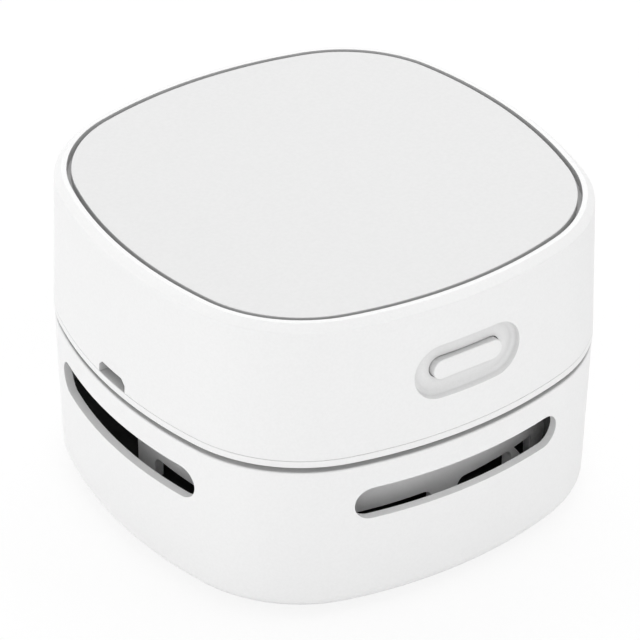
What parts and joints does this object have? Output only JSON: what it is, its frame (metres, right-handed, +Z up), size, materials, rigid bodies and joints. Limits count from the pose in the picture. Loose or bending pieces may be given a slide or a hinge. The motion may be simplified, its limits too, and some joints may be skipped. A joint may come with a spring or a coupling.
{
  "type": "desktop mini vacuum cleaner",
  "caption": "Rounded square cordless desk vacuum: a head with flush top panel, pill button in a finger dish and charging notch lifts off a dust cup with long air slots.",
  "frame": {"origin": "on the desk, under the middle of the body", "axes": "+Z up, -Y towards the front face with the power button, -X towards the face with the charging notch"},
  "size_m": [0.08, 0.08, 0.0548],
  "materials": {
    "shell_white": "satin",
    "button_white": "satin",
    "panel_white": "fine matt",
    "housing_grey": "matt",
    "black_plastic": "matt",
    "filter_foam": "open cell foam",
    "foot_rubber": "matt",
    "gasket_rubber": "matt",
    "black_rubber": "matt",
    "bristle_nylon": "stiff nylon",
    "screw_steel": "zinc plated",
    "can_steel": "nickel plated",
    "core_steel": "laminated",
    "copper": "bright",
    "magnet_ferrite": "ground",
    "tab_nickel": "bright",
    "cell_wrap": "shrink wrap",
    "board_green": "solder mask",
    "chip_black": "matt",
    "capacitor_can": "drawn",
    "plug_ivory": "moulded",
    "cap_nylon": "moulded",
    "tape_film": "film",
    "lead_red": "insulation"
  },
  "bodies": {
    "dust_cup": {"lower_shell": "shell_white", "brush_ring": "housing_grey", "bristle_tufts": "bristle_nylon", "brush_screws": "screw_steel", "glide_feet": "foot_rubber", "cup_gasket": "gasket_rubber"},
    "head": {"upper_shell": "shell_white", "top_panel": "panel_white", "panel_tape": "tape_film", "mid_frame": "shell_white", "shell_screws": "screw_steel", "fan_housing": "housing_grey", "housing_screws": "screw_steel", "inlet_plate": "black_plastic", "plate_screws": "screw_steel", "filter_frame": "black_plastic", "filter_foam": "filter_foam", "motor_can": "can_steel", "motor_end_cap": "cap_nylon", "motor_brushes": "copper", "motor_terminals": "tab_nickel", "motor_magnets": "magnet_ferrite", "motor_sleeve": "black_rubber", "motor_screws": "screw_steel", "battery_cell": "cell_wrap", "battery_tabs": "tab_nickel", "battery_strap": "can_steel", "main_board": "board_green", "board_screws": "screw_steel", "board_chips": "chip_black", "board_coil": "chip_black", "board_capacitor": "capacitor_can", "lead_plugs": "plug_ivory", "usb_shell": "can_steel", "usb_tongue": "black_plastic", "switch_board": "board_green", "push_switch": "black_plastic", "battery_leads": "lead_red", "motor_leads": "lead_red", "switch_leads": "lead_red"},
    "button": {"power_button": "button_white", "switch_plunger": "plug_ivory"},
    "rotor": {"motor_shaft": "can_steel", "armature_core": "core_steel", "armature_windings": "copper", "commutator": "copper", "impeller": "black_plastic"}
  },
  "joints": [
    {"name": "head_lift", "type": "slide", "parent": "dust_cup", "child": "head", "axis": [0, 0, 1], "range_m": [0, 0.04]},
    {"name": "button_press", "type": "slide", "parent": "head", "child": "button", "axis": [0, 1, 0], "range_m": [0, 0.0008], "stiffness_N_per_m": 300, "springref_m": -0.0005},
    {"name": "rotor_spin", "type": "hinge", "parent": "head", "child": "rotor", "pos_m": [0, 0, 0.025], "axis": [0, 0, 1], "continuous": true}
  ]
}
